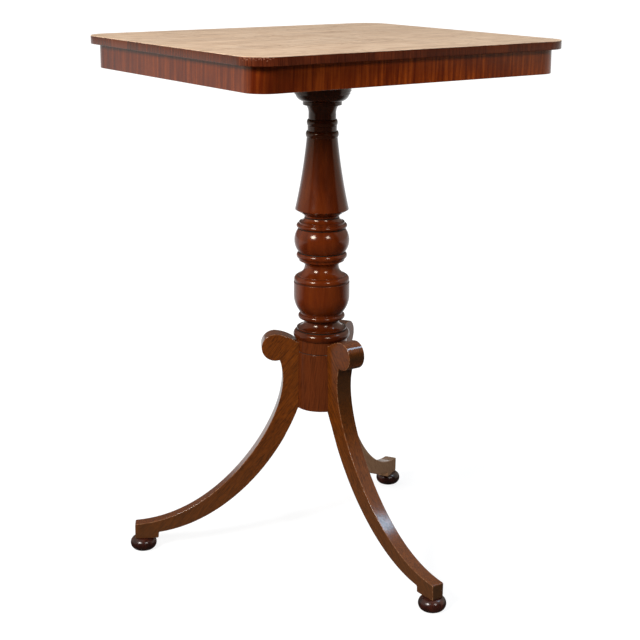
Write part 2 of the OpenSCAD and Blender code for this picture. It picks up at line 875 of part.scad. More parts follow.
glue_block(left_angle, -1);  // glue_block_left_back
glue_block(left_angle, 1);  // glue_block_left_front
bearer();
bearer_screws();
pillar();
pillar_wedge();
leg(front_leg_angle);  // leg_front
leg(back_right_leg_angle);  // leg_back_right
leg(back_left_leg_angle);  // leg_back_left
bun_foot(front_leg_angle);  // bun_foot_front
bun_foot(back_right_leg_angle);  // bun_foot_back_right
bun_foot(back_left_leg_angle);  // bun_foot_back_left
brace_plate();
brace_screws();
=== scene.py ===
import math
import bpy
from mathutils import Matrix, Vector


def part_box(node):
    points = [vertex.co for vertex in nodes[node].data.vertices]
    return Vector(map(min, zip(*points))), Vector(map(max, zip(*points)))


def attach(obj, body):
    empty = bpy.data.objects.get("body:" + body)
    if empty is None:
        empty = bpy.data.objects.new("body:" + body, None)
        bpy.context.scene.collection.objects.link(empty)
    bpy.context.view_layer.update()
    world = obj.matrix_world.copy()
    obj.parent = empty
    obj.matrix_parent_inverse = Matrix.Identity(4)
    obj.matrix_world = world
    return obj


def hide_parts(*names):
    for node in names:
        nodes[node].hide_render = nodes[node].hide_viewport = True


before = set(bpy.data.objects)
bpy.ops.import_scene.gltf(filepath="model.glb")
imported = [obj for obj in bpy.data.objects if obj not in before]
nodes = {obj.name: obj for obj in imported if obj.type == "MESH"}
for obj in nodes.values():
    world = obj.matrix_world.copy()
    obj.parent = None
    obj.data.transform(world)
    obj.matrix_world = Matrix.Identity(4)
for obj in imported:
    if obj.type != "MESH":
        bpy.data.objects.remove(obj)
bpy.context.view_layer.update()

mm = 0.001
print("frame loaded:", len(nodes), "nodes")


# Places that every piece is set from, read off the frame in millimetres
def edges(node):
    low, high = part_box(node)
    return [v / mm for v in low], [v / mm for v in high]


veneerLow, veneerHigh = edges("top_veneer")
stripLow, stripHigh = edges("edge_strip_front")
facingLow, facingHigh = edges("facing_front")
leftFacingLow = edges("facing_left")[0]
pillarLow, pillarHigh = edges("pillar")
bearerLow = edges("bearer")[0]
pillarY = (pillarLow[1] + pillarHigh[1]) / 2
legTurns = {"front": -90, "back_right": 30, "back_left": 150}
farWay = (0.454, 0.891, 0)  # level, from the side of the near corner to the far side


def colour(r, g, b):
    # a colour as a paint chart gives it, in linear light
    def linear(v):
        v = v / 255
        return v / 12.92 if v <= 0.04045 else ((v + 0.055) / 1.055) ** 2.4
    return (linear(r), linear(g), linear(b), 1)


# Shapes

def arc(start, end, swell, steps=10):
    # points along an arc that stands out by swell at its middle; a negative swell is a hollow
    start, end = Vector(start), Vector(end)
    if abs(swell) < 0.01:
        return [start, end]
    run = end - start
    chord = run.length
    r = (chord * chord / 4 + swell * swell) / (2 * swell)
    half = math.asin(chord / 2 / abs(r))
    side = Vector((run.y, -run.x)) / chord
    centre = (start + end) / 2 - side * (r - swell)
    way = run / chord * math.copysign(1, swell)
    turns = [(2 * i / steps - 1) * half for i in range(steps + 1)]
    return [centre + r * (math.cos(a) * side + math.sin(a) * way) for a in turns]


def uprightSwell(rise, out):
    # the swell that lets an arc end upright, so that it runs into a straight side
    return math.hypot(rise, out) / 2 * math.tan(math.atan2(out, rise) / 2)


def bezier(points, t):
    while len(points) > 1:
        points = [a.lerp(b, t) for a, b in zip(points, points[1:])]
    return points[0]


def softened(points, ease, closed=False, steps=3, sharper=14, apart=0.02, reach=0.4):
    # rounds each corner of an outline that turns by more than sharper degrees
    kept = [Vector(points[0])]
    for p in points[1:]:
        if (Vector(p) - kept[-1]).length > apart:
            kept.append(Vector(p))
    if closed and (kept[0] - kept[-1]).length < apart:
        kept.pop()
    made = []
    count = len(kept)
    for i, p in enumerate(kept):
        if not closed and i in (0, count - 1):
            made.append(p)
            continue
        before, after = kept[i - 1] - p, kept[(i + 1) % count] - p
        if math.degrees((-before).angle(after)) < sharper:
            made.append(p)
            continue
        near = p + before.normalized() * min(ease, before.length * reach)
        far = p + after.normalized() * min(ease, after.length * reach)
        for k in range(steps + 1):
            t = k / steps
            made.append(near.lerp(p, t).lerp(p.lerp(far, t), t))
    return made


def roundedArris(ease, steps=3):
    # how far each step of a rounded arris stands in and back, and how much it is rubbed
    turns = [math.radians(90 * k / steps) for k in range(steps + 1)]
    return [(ease * (1 - math.cos(a)), ease * (1 - math.sin(a)), math.sin(2 * a)) for a in turns]


def skin(rings, size):
    # the faces between rings of points, and one over each end
    faces = []
    for i in range(rings - 1):
        for k in range(size):
            n = (k + 1) % size
            faces.append((i * size + k, i * size + n, (i + 1) * size + n, (i + 1) * size + k))
    last = (rings - 1) * size
    return faces + [tuple(reversed(range(size))), tuple(range(last, last + size))]


def addPiece(name, points, faces, material, replaced, place=None):
    # points are in millimetres; flat faces stay flat and only the rounded arrises are smooth
    mesh = bpy.data.meshes.new(name)
    mesh.from_pydata([Vector(p) * mm for p in points], [], faces)
    mesh.validate()
    mesh.shade_smooth()
    mesh.materials.append(material)
    piece = bpy.data.objects.new(name, mesh)
    bpy.context.scene.collection.objects.link(piece)
    if place is not None:
        piece.matrix_world = place
    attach(piece, "root")
    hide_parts(*replaced)
    steady = piece.modifiers.new("flat faces", "WEIGHTED_NORMAL")
    steady.keep_sharp = True
    return piece


def lathe(name, profile, around, material, replaced, place):
    # a closed turning; profile runs from the bottom to the top, each point (radius, height)
    turns = [2 * math.pi * k / around for k in range(around)]
    points = [(r * math.cos(a), r * math.sin(a), z) for r, z in profile for a in turns]
    return addPiece(name, points, skin(len(profile), around), material, replaced, place)


def sweep(name, path, profile, material, replaced, start):
    # draws a closed profile (out, height) along a path of (x, y, way out x, way out y)
    points, along = [], []
    run = start
    for i, (x, y, nx, ny) in enumerate(path):
        if i:
            run += math.hypot(x - path[i - 1][0], y - path[i - 1][1])
        for out, z in profile:
            points.append((x + nx * out, y + ny * out, z))
            along.append((run, z))
    piece = addPiece(name, points, skin(len(path), len(profile)), material, replaced)
    # u is the way round the table and v the height, both in metres
    lengths = piece.data.uv_layers.new(name="along")
    for loop in piece.data.loops:
        u, v = along[loop.vertex_index]
        lengths.data[loop.index].uv = (u * mm, v * mm)
    for end in piece.data.polygons[-2:]:
        end.use_smooth = False


def keepShare(piece, name, shares):
    # a share for each point, which the material reads
    kept = piece.data.attributes.new(name, "FLOAT", "POINT")
    kept.data.foreach_set("value", shares)


# Materials

def shaderOf(name, specular=0.5, polishTint=(1, 1, 1, 1)):
    material = bpy.data.materials.new(name)
    material.use_nodes = True
    tree = material.node_tree
    shader = tree.nodes["Principled BSDF"]
    shader.inputs["Specular IOR Level"].default_value = specular
    shader.inputs["Specular Tint"].default_value = polishTint
    return material, tree, shader


def placeOf(tree, output="Object"):
    return tree.nodes.new("ShaderNodeTexCoord").outputs[output]


def partsOf(tree, vector):
    split = tree.nodes.new("ShaderNodeSeparateXYZ")
    tree.links.new(vector, split.inputs["Vector"])
    return split.outputs


def shareOf(tree, name):
    # a share that the piece's own mesh keeps
    kept = tree.nodes.new("ShaderNodeAttribute")
    kept.attribute_name = name
    return kept.outputs["Fac"]


def grain(tree, place, size, detail, wobble, turn=(0, 0, 0), rough=0.55):
    # a figure with features of size millimetres each way, turned by so many degrees; detail is how fine
    # it goes, rough how strong the fine part is, and wobble how it wavers
    mapping = tree.nodes.new("ShaderNodeMapping")
    mapping.vector_type = "TEXTURE"
    mapping.inputs["Rotation"].default_value = [math.radians(a) for a in turn]
    mapping.inputs["Scale"].default_value = [s * mm for s in size]
    tree.links.new(place, mapping.inputs["Vector"])
    noise = tree.nodes.new("ShaderNodeTexNoise")
    noise.inputs["Scale"].default_value = 1.0
    noise.inputs["Detail"].default_value = detail
    noise.inputs["Roughness"].default_value = rough
    noise.inputs["Distortion"].default_value = wobble
    tree.links.new(mapping.outputs["Vector"], noise.inputs["Vector"])
    return noise.outputs["Fac"]


def ramp(tree, value, places, shades):
    node = tree.nodes.new("ShaderNodeValToRGB")
    line = node.color_ramp.elements
    while len(line) < len(places):
        line.new(0.5)
    for element, place, shade in zip(line, places, shades):
        element.position = place
        element.color = shade
    tree.links.new(value, node.inputs["Fac"])
    return node.outputs["Color"]


def level(tree, value, low, high, to=(0.0, 1.0)):
    node = tree.nodes.new("ShaderNodeMapRange")
    node.inputs["From Min"].default_value = low
    node.inputs["From Max"].default_value = high
    node.inputs["To Min"].default_value = to[0]
    node.inputs["To Max"].default_value = to[1]
    tree.links.new(value, node.inputs["Value"])
    return node.outputs["Result"]


def sums(tree, kind, *values):
    node = tree.nodes.new("ShaderNodeMath")
    node.operation = kind
    for socket, value in zip(node.inputs, values):
        if isinstance(value, (int, float)):
            socket.default_value = value
        else:
            tree.links.new(value, socket)
    return node.outputs[0]


def mixed(tree, amount, a, b):
    node = tree.nodes.new("ShaderNodeMix")
    node.data_type = "RGBA"
    factor, first, second = node.inputs[0], node.inputs[6], node.inputs[7]
    for socket, value in ((factor, amount), (first, a), (second, b)):
        if hasattr(value, "is_linked"):
            tree.links.new(value, socket)
        else:
            socket.default_value = value
    return node.outputs[2]


def over(tree, wood, value, span, shade):
    # lays a shade over the wood; span is where it starts to show, where it shows most, and how much
    low, high, share = span
    return mixed(tree, level(tree, value, low, high, (0, share)), wood, shade)


def dress(tree, shader, wood, roughness, height, relief):
    # relief is its depth in millimetres and its strength
    tree.links.new(wood, shader.inputs["Base Color"])
    tree.links.new(roughness, shader.inputs["Roughness"])
    bump = tree.nodes.new("ShaderNodeBump")
    bump.inputs["Strength"].default_value = relief[1]
    bump.inputs["Distance"].default_value = relief[0] * mm
    tree.links.new(height, bump.inputs["Height"])
    tree.links.new(bump.outputs["Normal"], shader.inputs["Normal"])


def polish(tree, value, roughness, calm=0.3, wild=0.7):
    # the roughness where the noise is low and where it is high
    return level(tree, value, calm, wild, roughness)


def fadedVeneer():
    veneer = {
        "shades": [colour(147, 106, 77), colour(230, 197, 165), colour(248, 223, 196)],
        "places": (0.3, 0.5, 0.72),
        "lines": {"size": (110, 2.6, 20), "detail": 4, "wobble": 0.6},
        "fine": {"size": (36, 0.9, 20), "detail": 2, "wobble": 0.2, "turn": (0, 0, 1.5)},
        "cross": {"size": (14, 50, 20), "detail": 2, "wobble": 0.8, "turn": (0, 0, 8)},
        "hills": {"size": (190, 46, 60), "detail": 2, "wobble": 1.2, "turn": (0, 0, 4), "rough": 0.4},
        # rings to each hill, and how each figure shows
        "rings": 11, "ringsShow": (0.16, 0, 0.42), "fineShows": (0.46, 0.7, 0.5),
        "crossShows": (0.45, 0.7, 0.3), "hillsShow": (0.35, 0.7, 0.4),
        "specular": 0.34, "roughness": (0.4, 0.52), "relief": (0.05, 0.25),
    }
    material, tree, shader = shaderOf("fadedVeneer", veneer["specular"])
    place = placeOf(tree)
    line, tan, pale = veneer["shades"]
    lines = grain(tree, place, **veneer["lines"])
    fine = grain(tree, place, **veneer["fine"])
    cross = grain(tree, place, **veneer["cross"])
    # the figure shows as long closed rings, like lines of height on a map
    hills = grain(tree, place, **veneer["hills"])
    rings = sums(tree, "PINGPONG", sums(tree, "MULTIPLY", hills, veneer["rings"]), 0.5)
    wood = ramp(tree, lines, veneer["places"], veneer["shades"])
    wood = over(tree, wood, rings, veneer["ringsShow"], line)
    wood = over(tree, wood, fine, veneer["fineShows"], line)
    wood = over(tree, wood, cross, veneer["crossShows"], pale)
    wood = over(tree, wood, hills, veneer["hillsShow"], tan)
    dress(tree, shader, wood, polish(tree, hills, veneer["roughness"]), fine, veneer["relief"])
    return material


def crossBanding():
    banding = {
        "shades": [colour(48, 15, 7), colour(80, 30, 13), colour(116, 52, 22)],
        "places": (0.3, 0.52, 0.75), "chipped": colour(184, 132, 108),
        "fibres": {"size": (0.8, 0.8, 30), "detail": 4, "wobble": 0.3},
        "flakes": {"size": (2, 2, 1.6), "detail": 3, "wobble": 0.4},
        # the length of the short pieces, how dark and how light they get, and the joints between them
        "pieceLength": 34, "darkPieces": (0.2, 1, 0.45), "lightPieces": (0.7, 1, 0.6),
        "joints": (0.012, 0, 0.8),
        # the chips at the near corner: how far out they begin and how high, in metres, and what stays sound
        "chipCorner": (0.2838, 0.2885), "chipHeight": (0.7125, 0.7188), "sound": 0.28,
        "chipsShow": (0.46, 0.56, 0.55),
        "specular": 0.35, "tint": (1, 0.84, 0.6, 1), "roughness": (0.18, 0.28), "relief": (0.05, 0.3),
    }
    material, tree, shader = shaderOf("crossBanding", banding["specular"], banding["tint"])
    place = placeOf(tree)
    dark, light = banding["shades"][0], banding["shades"][-1]
    lengths = tree.nodes.new("ShaderNodeUVMap")
    lengths.uv_map = "along"
    pieces = sums(tree, "DIVIDE", partsOf(tree, lengths.outputs["UV"])["X"], banding["pieceLength"] * mm)

    def cells(feature):
        cell = tree.nodes.new("ShaderNodeTexVoronoi")
        cell.voronoi_dimensions = "1D"
        cell.feature = feature
        cell.inputs["Scale"].default_value = 1.0
        tree.links.new(pieces, cell.inputs["W"])
        return cell.outputs
    tint = tree.nodes.new("ShaderNodeSeparateColor")
    tree.links.new(cells("F1")["Color"], tint.inputs["Color"])
    fibres = grain(tree, place, **banding["fibres"])
    wood = ramp(tree, fibres, banding["places"], banding["shades"])
    wood = over(tree, wood, tint.outputs["Red"], banding["darkPieces"], dark)
    wood = over(tree, wood, tint.outputs["Green"], banding["lightPieces"], light)
    wood = over(tree, wood, cells("DISTANCE_TO_EDGE")["Distance"], banding["joints"], dark)
    where = partsOf(tree, place)
    out = sums(tree, "MULTIPLY", sums(tree, "ADD", where["X"], where["Y"]), -math.sqrt(0.5))
    worn = sums(tree, "MULTIPLY", level(tree, out, *banding["chipCorner"]),
                level(tree, where["Z"], *banding["chipHeight"]))
    flakes = grain(tree, place, **banding["flakes"])
    chips = sums(tree, "SUBTRACT", flakes, level(tree, worn, 0, 1, (banding["sound"], 0)))
    wood = over(tree, wood, chips, banding["chipsShow"], banding["chipped"])
    dress(tree, shader, wood, polish(tree, fibres, banding["roughness"]), fibres, banding["relief"])
    return material


def stripedFacing():
    facing = {
        "shades": [colour(90, 27, 4), colour(120, 46, 7), colour(150, 66, 15)],
        "places": (0.36, 0.5, 0.66), "darker": colour(58, 16, 4), "edge": colour(150, 92, 62),
        "stripes": {"size": (5, 5, 120), "detail": 3, "wobble": 0.4, "turn": (2, 2, 0)},
        "fibres": {"size": (0.8, 0.8, 14), "detail": 3, "wobble": 0.2, "turn": (1, 1, 0)},
        "patches": {"size": (34, 34, 60), "detail": 2, "wobble": 0.5},
        "mottle": {"size": (7, 7, 9), "detail": 3, "wobble": 0.6},
        "fibresShow": (0.5, 0.8, 0.28), "mottleShows": (0.45, 0.75, 0.35), "patchesShow": (0.5, 0.75, 0.55),
        # the darker end of the front facing, painted shade on the left facing, the paler right end and the
        # paler arris along the bottom, in metres
        "darkEnd": (-0.04, -0.2, 0.6), "frontFace": (-0.168, -0.176), "leftFace": (-0.2, -0.228, 0.45),
        "paleEnd": (0.1, 0.24, 0.16), "bottom": (0.6774, 0.6768, 0.5),
        "specular": 0.3, "tint": (1, 0.86, 0.62, 1), "roughness": (0.13, 0.2), "relief": (0.04, 0.25),
    }
    material, tree, shader = shaderOf("stripedFacing", facing["specular"], facing["tint"])
    place = placeOf(tree)
    dark = facing["shades"][0]
    stripes = grain(tree, place, **facing["stripes"])
    fibres = grain(tree, place, **facing["fibres"])
    patches = grain(tree, place, **facing["patches"])
    mottle = grain(tree, place, **facing["mottle"])
    wood = ramp(tree, stripes, facing["places"], facing["shades"])
    wood = over(tree, wood, fibres, facing["fibresShow"], dark)
    wood = over(tree, wood, mottle, facing["mottleShows"], dark)
    wood = over(tree, wood, patches, facing["patchesShow"], dark)
    where = partsOf(tree, place)
    low, high, share = facing["darkEnd"]
    darkEnd = sums(tree, "MULTIPLY", level(tree, where["X"], low, high, (0, share)),
                   level(tree, where["Y"], *facing["frontFace"]))
    wood = mixed(tree, darkEnd, wood, facing["darker"])
    # painted shade darkens the left facing, against the lamp light that falls on it
    wood = over(tree, wood, where["X"], facing["leftFace"], facing["darker"])
    wood = over(tree, wood, where["X"], facing["paleEnd"], facing["edge"])
    wood = over(tree, wood, where["Z"], facing["bottom"], facing["edge"])
    dress(tree, shader, wood, polish(tree, fibres, facing["roughness"]), fibres, facing["relief"])
    return material


def turnedMahogany():
    mahogany = {
        "shades": [colour(76, 25, 4), colour(92, 34, 7), colour(108, 46, 11)],
        "places": (0.3, 0.5, 0.78),
        # one dark colour for dirt on the base and for painted shade below the table top and in the grooves
        "grimeAndShade": colour(15, 7, 3), "drum": colour(100, 48, 20), "pore": colour(48, 18, 6),
        "fibres": {"size": (1, 1, 14), "detail": 3, "wobble": 0.2},
        "figure": {"size": (14, 14, 110), "detail": 3, "wobble": 0.6, "turn": (3, -2, 0)},
        "pores": {"size": (1.5, 1.5, 60), "detail": 3, "wobble": 0.3, "turn": (5, 5, 0)},
        "fibresShow": (0.48, 0.78, 0.6), "poresShow": (0.5, 0.66, 0.6), "drumShows": 0.75,
        # heights in metres: the drum's top, the moulded base's top, and the painted shade below the table
        # top
        "drumTop": (0.306, 0.31), "baseTop": (0.33, 0.36), "dark": (0.45, 0.64, 0.7),
        "lowGrime": 0.15, "baseGrime": 0.3, "grooveDull": 0.4,
        "specular": 0.36, "tint": (1, 0.89, 0.76, 1), "roughness": (0.13, 0.2), "relief": (0.03, 0.2),
    }
    material, tree, shader = shaderOf("turnedMahogany", mahogany["specular"], mahogany["tint"])
    place = placeOf(tree)
    height = partsOf(tree, place)["Z"]
    onDrum = level(tree, height, *mahogany["drumTop"], (1, 0))
    fibres = grain(tree, place, **mahogany["fibres"])
    figure = grain(tree, place, **mahogany["figure"])
    wood = ramp(tree, figure, mahogany["places"], mahogany["shades"])
    wood = mixed(tree, sums(tree, "MULTIPLY", onDrum, mahogany["drumShows"]), wood, mahogany["drum"])
    wood = over(tree, wood, fibres, mahogany["fibresShow"], mahogany["shades"][0])
    low, high, share = mahogany["poresShow"]
    pores = grain(tree, place, **mahogany["pores"])
    pores = sums(tree, "MULTIPLY", level(tree, pores, low, high), sums(tree, "MULTIPLY", onDrum, share))
    wood = mixed(tree, pores, wood, mahogany["pore"])
    # painted shade darkens the upper part, dirt the base, and dirt and painted shade the grooves
    wood = over(tree, wood, height, mahogany["dark"], mahogany["grimeAndShade"])
    lowDown = level(tree, height, *mahogany["baseTop"], (mahogany["lowGrime"], 0))
    wood = mixed(tree, lowDown, wood, mahogany["grimeAndShade"])
    onBase = sums(tree, "MULTIPLY", level(tree, height, *mahogany["baseTop"], (mahogany["baseGrime"], 0)),
                  level(tree, height, *mahogany["drumTop"]))
    wood = mixed(tree, onBase, wood, mahogany["grimeAndShade"])
    # dirt and painted shade darken the grooves
    grooves = shareOf(tree, "grooves")
    wood = mixed(tree, grooves, wood, mahogany["grimeAndShade"])
    dull = sums(tree, "MULTIPLY", grooves, mahogany["grooveDull"])
    roughness = sums(tree, "ADD", polish(tree, fibres, mahogany["roughness"]), dull)
    dress(tree, shader, wood, roughness, fibres, mahogany["relief"])
    return material


def legMahogany():
    mahogany = {
        "shades": [colour(94, 45, 10), colour(107, 52, 11), colour(120, 62, 16)],
        "places": (0.28, 0.5, 0.76),
        "line": colour(40, 18, 5), "rubbed": colour(154, 110, 78), "endGrain": colour(48, 30, 14),
        "dusty": colour(196, 148, 110), "dustyLine": colour(166, 122, 88), "dirt": colour(72, 52, 34),
        "slope": 52,  # of the grain, in degrees
        "fibres": {"size": (15, 1, 1), "detail": 3, "wobble": 0.2},
        "figure": {"size": (120, 4, 4), "detail": 4, "wobble": 0.8},
        "spots": {"size": (5, 3, 3), "detail": 3, "wobble": 0.5},
        "fibresShow": (0.44, 0.62, 0.6), "spotsShow": (0.5, 0.7, 0.35), "dustyLines": (0.42, 0.66),
        # by the way a face looks: out along the leg, up, and to the side
        "endShows": (0.86, 1, 0.8), "dustyTop": (0.6, 0.9, 0.6), "sideways": (0.6, 0.9),
        # up to what height in metres a side is dirty, how dirty, and where the arrises are rubbed
        "dirtUpTo": (0.02, 0.2), "dirtShows": 0.5, "rubbedSpots": (0.45, 0.58), "rubbedShare": (0.1, 0.8),
        "specular": 0.4, "roughness": (0.12, 0.2), "relief": (0.04, 0.3),
    }
    material, tree, shader = shaderOf("legMahogany", mahogany["specular"])
    place = placeOf(tree)
    turn = (0, mahogany["slope"], 0)
    fibres = grain(tree, place, turn=turn, **mahogany["fibres"])
    figure = grain(tree, place, turn=turn, **mahogany["figure"])
    spots = grain(tree, place, turn=turn, **mahogany["spots"])
    wood = ramp(tree, figure, mahogany["places"], mahogany["shades"])
    wood = over(tree, wood, fibres, mahogany["fibresShow"], mahogany["line"])
    wood = over(tree, wood, spots, mahogany["spotsShow"], mahogany["line"])
    looks = partsOf(tree, placeOf(tree, "Normal"))
    wood = over(tree, wood, looks["X"], mahogany["endShows"], mahogany["endGrain"])
    dustyLines = level(tree, fibres, *mahogany["dustyLines"])
    dusty = mixed(tree, dustyLines, mahogany["dusty"], mahogany["dustyLine"])
    dusty = over(tree, dusty, looks["Z"], mahogany["dustyTop"], mahogany["dirt"])
    wood = mixed(tree, shareOf(tree, "faded"), wood, dusty)
    height = partsOf(tree, place)["Z"]
    sideways = level(tree, sums(tree, "ABSOLUTE", looks["Y"]), *mahogany["sideways"])
    dirt = level(tree, height, *mahogany["dirtUpTo"], (mahogany["dirtShows"], 0))
    wood = mixed(tree, sums(tree, "MULTIPLY", dirt, sideways), wood, mahogany["dirt"])
    wear = level(tree, spots, *mahogany["rubbedSpots"], mahogany["rubbedShare"])
    wood = mixed(tree, sums(tree, "MULTIPLY", shareOf(tree, "rubbed"), wear), wood, mahogany["rubbed"])
    dress(tree, shader, wood, polish(tree, fibres, mahogany["roughness"]), fibres, mahogany["relief"])
    return material


def bunMahogany():
    stain = {
        "shades": [colour(24, 8, 5), colour(48, 17, 10), colour(72, 28, 14)],
        "places": (0.3, 0.52, 0.78),
        "fibres": {"size": (1.2, 1.2, 14), "detail": 3, "wobble": 0.3}, "fibresShow": (0.5, 0.8, 0.6),
        "figure": {"size": (9, 9, 26), "detail": 3, "wobble": 0.6},
        "roughness": (0.22, 0.3), "relief": (0.03, 0.2),
    }
    material, tree, shader = shaderOf("bunMahogany")
    place = placeOf(tree)
    fibres = grain(tree, place, **stain["fibres"])
    figure = grain(tree, place, **stain["figure"])
    wood = ramp(tree, figure, stain["places"], stain["shades"])
    wood = over(tree, wood, fibres, stain["fibresShow"], stain["shades"][0])
    dress(tree, shader, wood, polish(tree, fibres, stain["roughness"]), fibres, stain["relief"])
    return material


def carcassDeal():
    deal = {
        "shades": [colour(108, 72, 40), colour(146, 106, 66), colour(172, 132, 88)],
        "places": (0.3, 0.5, 0.74), "soot": colour(70, 48, 30),
        "rings": {"size": (120, 5, 5), "detail": 4, "wobble": 0.7},
        "dirt": {"size": (40, 40, 40), "detail": 3, "wobble": 0.4}, "dirtShows": (0.5, 0.75, 0.5),
        "specular": 0.3, "roughness": (0.62, 0.82), "relief": (0.15, 0.4),
    }
    material, tree, shader = shaderOf("carcassDeal", deal["specular"])
    place = placeOf(tree)
    rings = grain(tree, place, **deal["rings"])
    dirt = grain(tree, place, **deal["dirt"])
    wood = ramp(tree, rings, deal["places"], deal["shades"])
    wood = over(tree, wood, dirt, deal["dirtShows"], deal["soot"])
    dress(tree, shader, wood, polish(tree, rings, deal["roughness"]), rings, deal["relief"])
    return material


def agedIron(name, iron):
    material, tree, shader = shaderOf(name)
    bloom = grain(tree, placeOf(tree), **iron["bloom"])
    shader.inputs["Metallic"].default_value = iron["metal"]
    shade = ramp(tree, bloom, iron["places"], iron["shades"])
    dress(tree, shader, shade, polish(tree, bloom, iron["roughness"]), bloom, iron["relief"])
    return material


def blackIron():
    return agedIron("blackIron", {
        "shades": [colour(28, 25, 23), colour(52, 44, 38), colour(86, 56, 38)],
        "places": (0.35, 0.6, 0.75),
        "bloom": {"size": (4, 4, 4), "detail": 4, "wobble": 0.3},
        "metal": 0.6, "roughness": (0.45, 0.7), "relief": (0.25, 0.5),
    })


def oldScrew():
    return agedIron("oldScrew", {
        "shades": [colour(60, 54, 50), colour(94, 84, 76), colour(104, 66, 44)],
        "places": (0.35, 0.55, 0.75),
        "bloom": {"size": (1.6, 1.6, 1.6), "detail": 3, "wobble": 0.2},
        "metal": 0.8, "roughness": (0.35, 0.6), "relief": (0.08, 0.4),
    })


topWood = fadedVeneer()
stripWood = crossBanding()
facingWood = stripedFacing()
pillarWood = turnedMahogany()
legWood = legMahogany()
bunWood = bunMahogany()
dealWood = carcassDeal()
braceIron = blackIron()
screwIron = oldScrew()
print("materials mixed")


# Pieces

def roundCorner(cx, cy, r, start, steps=12):
    # a quarter round the point cx, cy from the angle start
    turns = [math.radians(start + 90 * i / steps) for i in range(steps + 1)]
    return [(cx + r * math.cos(a), cy + r * math.sin(a), math.cos(a), math.sin(a)) for a in turns]


def outlineRuns(halfW, halfD, r, step):
    # the sides and corners of a round-cornered rectangle, anticlockwise from the front side's left end
    x, y, yc = halfW - r, halfD - r, pillarY

    def straight(x0, y0, x1, y1, nx, ny):
        count = max(1, round(math.hypot(x1 - x0, y1 - y0) / step))
        return [(x0 + (x1 - x0) * i / count, y0 + (y1 - y0) * i / count, nx, ny) for i in range(count + 1)]
    return {
        "front": straight(-x, yc - halfD, x, yc - halfD, 0, -1),
        "front_right": roundCorner(x, yc - y, r, -90),
        "right": straight(halfW, yc - y, halfW, yc + y, 1, 0),
        "back_right": roundCorner(x, yc + y, r, 0),
        "back": straight(x, yc + halfD, -x, yc + halfD, 0, 1),
        "back_left": roundCorner(-x, yc + y, r, 90),
        "left": straight(-halfW, yc + y, -halfW, yc - y, -1, 0),
        "front_left": roundCorner(-x, yc - y, r, 180),
    }


def makeTopVeneer():
    sheet = {
        "ease": 0.45, "step": 200, "nearCornerSteps": 90,
        # places round the near corner where the veneer has broken away: degrees, width, depth
        "breaks": [(214, 4.0, 1.3), (222, 2.6, 0.9), (231, 5.0, 1.6), (243, 3.0, 1.0), (252, 4.2, 1.2)],
    }
    low, high = veneerLow, veneerHigh
    halfW, halfD = (high[0] - low[0]) / 2, (high[1] - low[1]) / 2
    r = stripLow[0] - low[0]
    runs = outlineRuns(halfW, halfD, r, sheet["step"])
    runs["front_left"] = roundCorner(-(halfW - r), pillarY - (halfD - r), r, 180, sheet["nearCornerSteps"])
    ring = [p for run in runs.values() for p in run[:-1]]
    arris = [(-inset, high[2] - back) for inset, back, rubbed in roundedArris(sheet["ease"])]
    rings = [(0, low[2])] + arris
    points = []
    for inset, z in rings:
        for x, y, nx, ny in ring:
            turn = math.degrees(math.atan2(ny, nx)) % 360
            bite = 0
            for at, width, depth in sheet["breaks"]:
                away = (turn - at) / 360 * 2 * math.pi * r / (width / 2)
                if abs(away) < 1 and nx < 0 and ny < 0:
                    bite = max(bite, depth * (1 - away ** 4))
            points.append((x + nx * (inset - bite), y + ny * (inset - bite), z))
    addPiece("topVeneerSheet", points, skin(len(rings), len(ring)), topWood, ["top_veneer"])


def layRound(band, halfW, halfD, corner, thick, low, high):
    # a strip along each side of the table and one round each corner, with its lower arris softened
    e, m = band["ease"], band["ease"] * band["arris"]
    start = 0
    for side, run in outlineRuns(halfW, halfD, corner, band["step"]).items():
        inner = -thick + (band["glueLine"] if "_" in side else 0)
        profile = [(inner, low), (-e, low), (-m, low + m), (0, low + e), (0, high), (inner, high)]
        node = (band["cornerNode"] if "_" in side else band["sideNode"]) + side
        sweep(band["name"] + side, run, profile, band["wood"], [node], start)
        start += sum(math.hypot(b[0] - a[0], b[1] - a[1]) for a, b in zip(run, run[1:]))


def makeEdgeStrips():
    strip = {
        "name": "edging_", "sideNode": "edge_strip_", "cornerNode": "edge_corner_",
        "wood": stripWood, "slot": "edge_strips", "glueLine": 0.1, "ease": 0.5, "arris": 0.3, "step": 20,
    }
    halfW, halfD = (veneerHigh[0] - veneerLow[0]) / 2, (veneerHigh[1] - veneerLow[1]) / 2
    corner = stripLow[0] - veneerLow[0]
    layRound(strip, halfW, halfD, corner, stripHigh[1] - stripLow[1], stripLow[2], stripHigh[2])


def makeFacings():
    facing = {
        "name": "veneered_", "sideNode": "facing_", "cornerNode": "facing_corner_",
        "wood": facingWood, "slot": "facings", "glueLine": 0, "ease": 0.5, "arris": 0.3, "step": 20,
    }
    halfW, halfD = -leftFacingLow[0], pillarY - facingLow[1]
    corner = facingLow[0] - leftFacingLow[0]
    layRound(facing, halfW, halfD, corner, facingHigh[1] - facingLow[1], facingLow[2], facingHigh[2])


